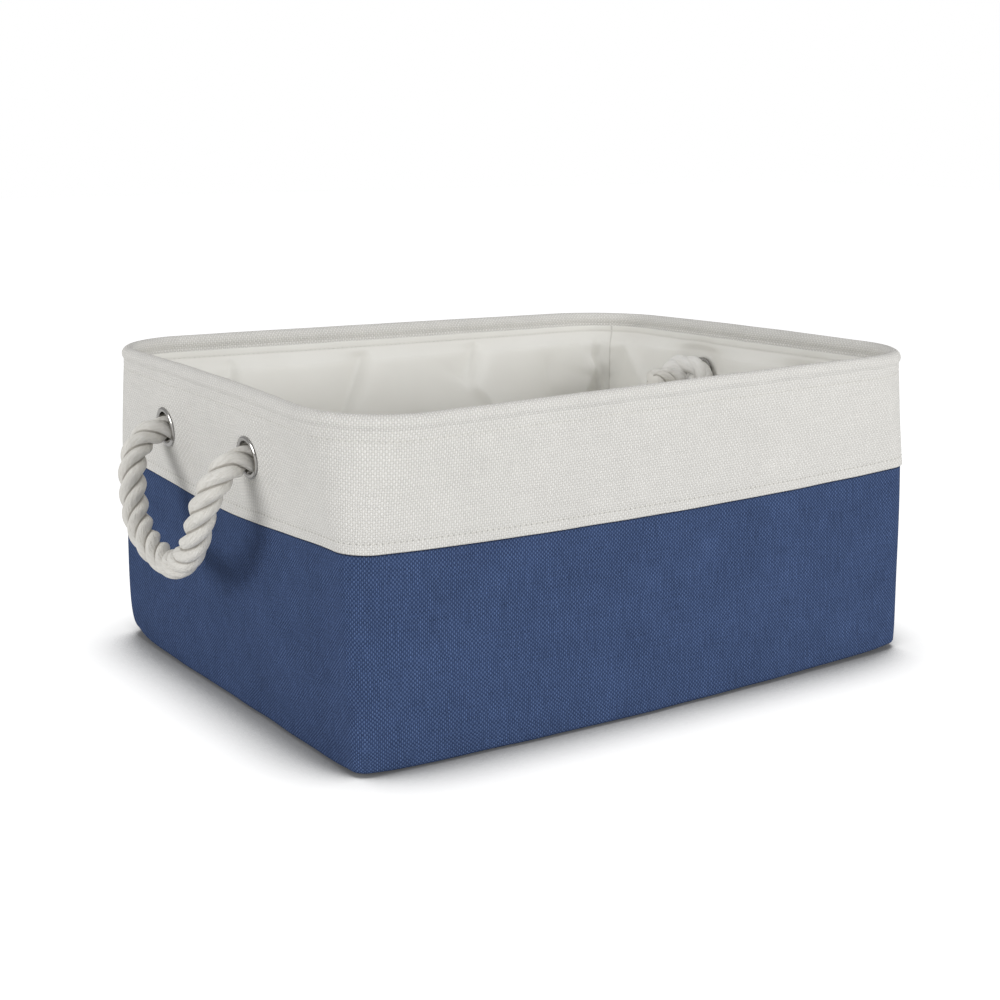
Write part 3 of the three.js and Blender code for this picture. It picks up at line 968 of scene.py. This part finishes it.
def make_eyelets(material):
    # Sections in millimetres: radius, and height out from the cloth's outer face.
    inside = -(LINING_AT + LINING) / MM
    washer_end = inside - 0.3 - 0.8
    lip = washer_end - 0.3
    barrel = [
        (8.6, lip - 0.5), (9, lip - 0.9), (10, lip - 0.9), (10.7, lip - 0.5), (10.7, lip), (9.3, lip),
        (9.3, 0.3), (11.3, 0.3), (11.3, 0.7), (10.7, 1.2), (9.9, 1.4), (9.1, 1.2), (8.6, 0.7),
    ]
    washer = [(9.6, washer_end), (11.3, washer_end), (11.3, inside - 0.3), (9.6, inside - 0.3)]
    for name, out, y in EYELETS:
        place = Matrix.Translation((out * EYELET_X, y, EYELET_HEIGHT))
        place = place @ Matrix.Rotation(out * (math.pi / 2 + END_LEAN), 4, "Y")
        for kind, outline_mm in (("eyelet", barrel), ("washer", washer)):
            profile = rounded(outline_mm, 0.5) * MM
            lathe(f"{name}_{kind}_metal", profile[::-1], place, material, f"{name}_{kind}")


# --- Rope ---

ROPE_RADIUS = 7.8 * MM
PINCHED_RADIUS = 7.2 * MM  # in an eyelet
ROPE_LAY = 35 * MM  # one full turn of the strands
# Half of a handle's centreline, as in the CAD model: outboard of the cloth face, from the handle's
# middle, and the drop below the eyelet. It goes from the swing axis to the middle of the loop.
HALF_HANDLE = np.array([
    [13, 53, 5], [18.2, 52, 11], [21.8, 49.5, 19], [23.8, 46, 28], [24.8, 42.5, 37.5],
    [25.4, 37.5, 46.5], [25.5, 30, 53.5], [24.9, 21, 58.8], [23.6, 11, 62.6], [22.8, 0, 64.2],
]) * MM
# In the eyelet the rope rests on the bottom of the bore. These points and the tail's end are from the
# eyelet: outboard, along the wall, up.
BORE = np.array([[-4, 0, -1.2], [0, 0, -0.9], [4, 0, -1.1], [8.5, 0.3, -2.4]]) * MM
TAIL_END = np.array([-49, 0, -1]) * MM
KNOT_DEPTH = 16.5 * MM
KNOT_DROP = 2.5 * MM
KNOT_SQUEEZE = 0.9 * MM  # how much thinner again the rope is in the knot
KNOT_ROPE = 9.6 * MM  # how near two stretches of the rope come to each other in the knot
KNOT_REACH = 11 * MM  # half of the length that is kept of the knot
KNOT_SHAPE = np.array([0.72, 1, 1.1])  # soft cotton packs shorter along the pull


def overhand_knot():
    """The centreline of a tightened overhand knot along X, in thicknesses of the rope.

    An open trefoil is pulled tight as a chain of points: even spacing, resistance to bending, and no
    two stretches of rope nearer than their thickness."""
    t = np.linspace(-2.05, 2.05, 600)
    loose = np.stack([-0.31 * (t**5 - 10 * t), 1.5 * (t**3 - 3 * t), 1.1 * (t**4 - 4 * t * t)], -1) * 0.62
    pull = np.array([np.sign(loose[-1, 0] - loose[0, 0]) * 0.02, 0, 0])
    loose = np.vstack([loose[0] - 75 * pull, loose, loose[-1] + 75 * pull])
    run = path_length(loose)
    count = int(run[-1] / 0.25) + 1
    spacing = run[-1] / (count - 1)
    points = np.stack([np.interp(np.linspace(0, run[-1], count), run, loose[:, k]) for k in range(3)], -1)
    first, second = np.triu_indices(count, k=int(1.35 / spacing) + 1)
    for turn in range(620):
        points[0] -= pull
        points[-1] += pull
        points[[0, -1], 1:] *= 0.95
        if turn % 8 == 0:
            near = np.linalg.norm(points[second] - points[first], axis=1) < 1.6
            a, b = first[near], second[near]
        for _ in range(6):
            points[1:-1] += 0.2 * ((points[:-2] + points[2:]) / 2 - points[1:-1])
            space_evenly(points, spacing)
            push_apart(points, a, b)
    return points


def space_evenly(points, spacing):
    """Moves each pair of neighbours in a chain to the spacing."""
    for odd in (0, 1):
        pairs = np.arange(odd, len(points) - 1, 2)
        gap = points[pairs + 1] - points[pairs]
        length = np.linalg.norm(gap, axis=1, keepdims=True)
        points[pairs] += gap * (length - spacing) / length / 2
        points[pairs + 1] -= gap * (length - spacing) / length / 2


def push_apart(points, a, b):
    """Moves the points numbered a and b apart where they are nearer than the rope's thickness."""
    gap = points[b] - points[a]
    length = np.linalg.norm(gap, axis=1)
    close = length < 1
    push = gap[close] / length[close, None] * (1 - length[close, None]) * 0.3
    np.add.at(points, a[close], -push)
    np.add.at(points, b[close], push)


def knot_body():
    """The part of the knot between its straight ends, in place behind an eyelet, from the tail's side."""
    knot = overhand_knot() * KNOT_ROPE
    knot = knot if knot[0, 0] < knot[-1, 0] else knot[::-1]
    knot = knot[np.abs(knot[:, 0]) < KNOT_REACH]
    knot = knot - np.array([0, knot[-1, 1], (knot[:, 2].max() + knot[:, 2].min()) / 2])
    return knot * KNOT_SHAPE + np.array([-KNOT_DEPTH, 0, -KNOT_DROP])


def mix_at(t, start, end, a, b):
    """The straight blend from a at the start to b at the end."""
    return (end - t) / (end - start) * a + (t - start) / (end - start) * b


def smooth_path(points, spacing):
    """A centripetal Catmull-Rom curve through points, sampled evenly."""
    points = np.asarray(points, float)
    ends = np.vstack([2 * points[0] - points[1], points, 2 * points[-1] - points[-2]])
    fine = []
    for i in range(len(points) - 1):
        p = ends[i : i + 4]
        k = np.concatenate([[0], np.cumsum(np.sqrt(np.linalg.norm(np.diff(p, axis=0), axis=1)))])
        t = np.linspace(k[1], k[2], 24, endpoint=i == len(points) - 2)[:, None]
        a = [mix_at(t, k[j], k[j + 1], p[j], p[j + 1]) for j in range(3)]
        b = [mix_at(t, k[j], k[j + 2], a[j], a[j + 1]) for j in range(2)]
        fine.append(mix_at(t, k[1], k[2], b[0], b[1]))
    fine = np.vstack(fine)
    run = path_length(fine)
    even = np.linspace(0, run[-1], int(run[-1] / spacing) + 1)
    return np.stack([np.interp(even, run, fine[:, k]) for k in range(3)], -1)


def carried_frame(centre):
    """Two directions across a path, carried along it without twist."""
    tangent = np.gradient(centre, axis=0)
    tangent /= np.linalg.norm(tangent, axis=1, keepdims=True)
    side = np.zeros_like(tangent)
    side[0] = np.cross(tangent[0], [0.1, 0.2, 1.0])
    side[0] /= np.linalg.norm(side[0])
    for i in range(1, len(centre)):
        carried = side[i - 1] - tangent[i] * np.dot(side[i - 1], tangent[i])
        side[i] = carried / np.linalg.norm(carried)
    return side, np.cross(tangent, side)


def rope_mesh(name, centre, radius, tightness, material):
    """Three laid strands as one skin. Each point of the centre has its own radius and tightness."""
    count, sides = len(centre), 72
    side, other = carried_frame(centre)
    run = path_length(centre)
    angle = np.linspace(0, 2 * math.pi, sides, endpoint=False)[None, :]
    turn = -2 * math.pi * run[:, None] / ROPE_LAY
    from_lobe = (angle + math.pi / 3) % (2 * math.pi / 3) - math.pi / 3
    strand_out, strand_radius = 0.44, 0.56
    reach = strand_out * np.cos(from_lobe)
    reach = reach + np.sqrt(strand_radius**2 - (strand_out * np.sin(from_lobe)) ** 2)
    # Where the rope is pulled tight in the knot its strands flatten together.
    reach = (reach + (0.93 - reach) * 0.6 * tightness[:, None]) * radius[:, None]
    angle = (angle - turn)[..., None]
    across = np.cos(angle) * side[:, None] + np.sin(angle) * other[:, None]
    points = centre[:, None] + reach[..., None] * across
    faces, flat = grid_faces(count, sides, False, True)
    uv = np.stack([run[flat[..., 0]], flat[..., 1] * (2 * math.pi * ROPE_RADIUS / sides)], -1)
    uv = np.vstack([uv.reshape(-1, 2), np.zeros((2 * sides, 2))])
    caps = [list(range(sides))[::-1], [(count - 1) * sides + k for k in range(sides)]]
    rope = make_piece(name, points.reshape(-1, 3), faces.tolist() + caps, uv, material)
    mark = rope.data.attributes.new("tightness", "FLOAT", "POINT")
    mark.data.foreach_set("value", np.repeat(tightness, sides).astype(np.float32))
    return rope


def rope_route(out, middle, knot):
    """The rope's centreline: tail, knot, eyelet and half of the handle, and the same back again."""
    half = HALF_HANDLE * np.array([1, 1, -1])
    inside = np.vstack([[TAIL_END], [0.6 * TAIL_END + 0.4 * knot[0]], knot, BORE])
    one_end = np.vstack([inside + np.array([0, EYELET_SPREAD, 0]), half])
    other_end = one_end[:-1][::-1] * np.array([1, -1, 1])
    outboard, along, up = np.vstack([one_end, other_end]).T
    place = np.stack([out * (EYELET_X + outboard), middle + along, EYELET_HEIGHT + up], -1)
    return smooth_path(place, 0.9 * MM)


def rope_sizes(centre, out):
    """The rope's radius along its route, and how far it is pulled tight in the knots, 0 to 1."""
    run = path_length(centre)
    beyond = out * centre[:, 0] - EYELET_X
    at_eyelet = np.clip(1 - np.abs(beyond + 3 * MM) / (12 * MM), 0, 1)
    past_eyelet = np.clip((-beyond - 6 * MM) / (6 * MM), 0, 1)
    before_tail = np.clip((KNOT_DEPTH + 19 * MM + beyond) / (8 * MM), 0, 1)
    tightness = past_eyelet * before_tail
    squeeze = np.maximum(np.minimum(at_eyelet * 2, 1), tightness)
    radius = ROPE_RADIUS + (PINCHED_RADIUS - ROPE_RADIUS) * squeeze - KNOT_SQUEEZE * tightness
    fray = np.clip(np.minimum(run, run[-1] - run) / (4 * MM), 0, 1)
    return radius * (0.72 + 0.28 * np.sqrt(1 - (1 - fray) ** 2)), tightness


def make_rope(side, out, middle, knot, material):
    """One rope through both eyelets of an end wall, with a knot and a tail inside at each end."""
    centre = rope_route(out, middle, knot)
    radius, tightness = rope_sizes(centre, out)
    rope = rope_mesh(f"{side}_rope", centre, radius, tightness, material)
    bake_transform(rope)
    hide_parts(f"{side}_handle_rope", f"{side}_front_rope_end", f"{side}_rear_rope_end")


def make_ropes(material):
    knot = knot_body()
    for side, out, middle in HANDLES:
        make_rope(side, out, middle, knot, material)


# --- Everything ---

make_camera()
make_studio()
cream, navy, lining = make_cream_cloth(), make_navy_cloth(), make_lining_cloth()
rope_cotton, thread, board = make_rope_cotton(), make_thread(), make_board()
nickel = metal("nickel", (0.5, 0.49, 0.47), 0.12, 300)
steel = metal("steel_wire", (0.45, 0.45, 0.44), 0.35, 500)

make_ropes(rope_cotton)
make_upper_band(cream)
make_lower_wall(navy)
make_bottom_panel(navy)
make_lining(lining)
make_lining_floor(lining)
make_stiffeners(board)
make_base_board(board)
make_rim_wire(steel)
make_stitches(thread)
make_eyelets(nickel)

bpy.context.scene.view_settings.view_transform = "Standard"
